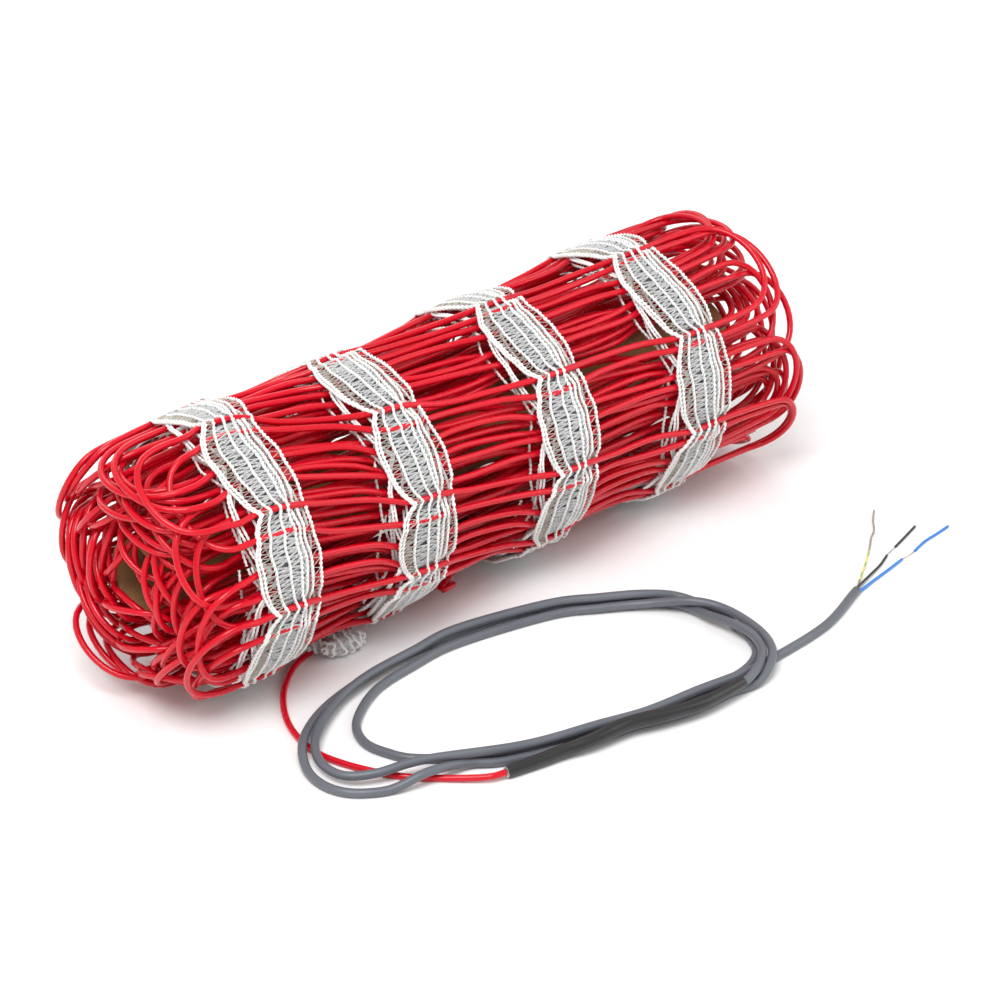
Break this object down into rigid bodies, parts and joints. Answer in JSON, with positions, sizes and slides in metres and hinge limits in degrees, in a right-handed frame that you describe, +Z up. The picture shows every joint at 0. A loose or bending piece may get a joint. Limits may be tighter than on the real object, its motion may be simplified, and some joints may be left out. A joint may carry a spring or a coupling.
{
  "type": "underfloor heating mat",
  "caption": "Rolled underfloor heating mat: looped heating cable held by knitted bands round a cardboard tube, with a coiled cold lead and stripped wires.",
  "frame": {"origin": "on the floor, under the middle of the roll", "axes": "+X along the roll's axis towards the end with the larger loops, +Z up, the cold lead lies on the -Y side"},
  "size_m": [0.5576, 0.3583, 0.1873],
  "materials": {
    "cardboard": "matt spiral-wound board",
    "red_jacket": "smooth glossy polymer",
    "white_knit": "knitted yarn",
    "black_shrink": "satin heat-shrink",
    "grey_jacket": "smooth satin polymer",
    "tinned_copper": "tinned strand",
    "green_yellow_sleeving": "satin",
    "black_insulation": "satin",
    "blue_insulation": "satin"
  },
  "bodies": {
    "root": {"core_tube": "cardboard", "heating_cable_roll": "red_jacket", "mesh_band_1": "white_knit", "mesh_band_2": "white_knit", "mesh_band_3": "white_knit", "mesh_band_4": "white_knit", "heating_cable_tail": "red_jacket", "band_end": "white_knit", "splice_sleeve": "black_shrink", "cold_lead": "grey_jacket", "earth_base_strands": "tinned_copper", "earth_sleeving": "green_yellow_sleeving", "earth_strands": "tinned_copper", "live_insulation": "black_insulation", "live_conductor": "tinned_copper", "live_tip": "black_insulation", "neutral_insulation": "blue_insulation", "neutral_conductor": "tinned_copper", "neutral_tip": "blue_insulation"}
  },
  "joints": []
}
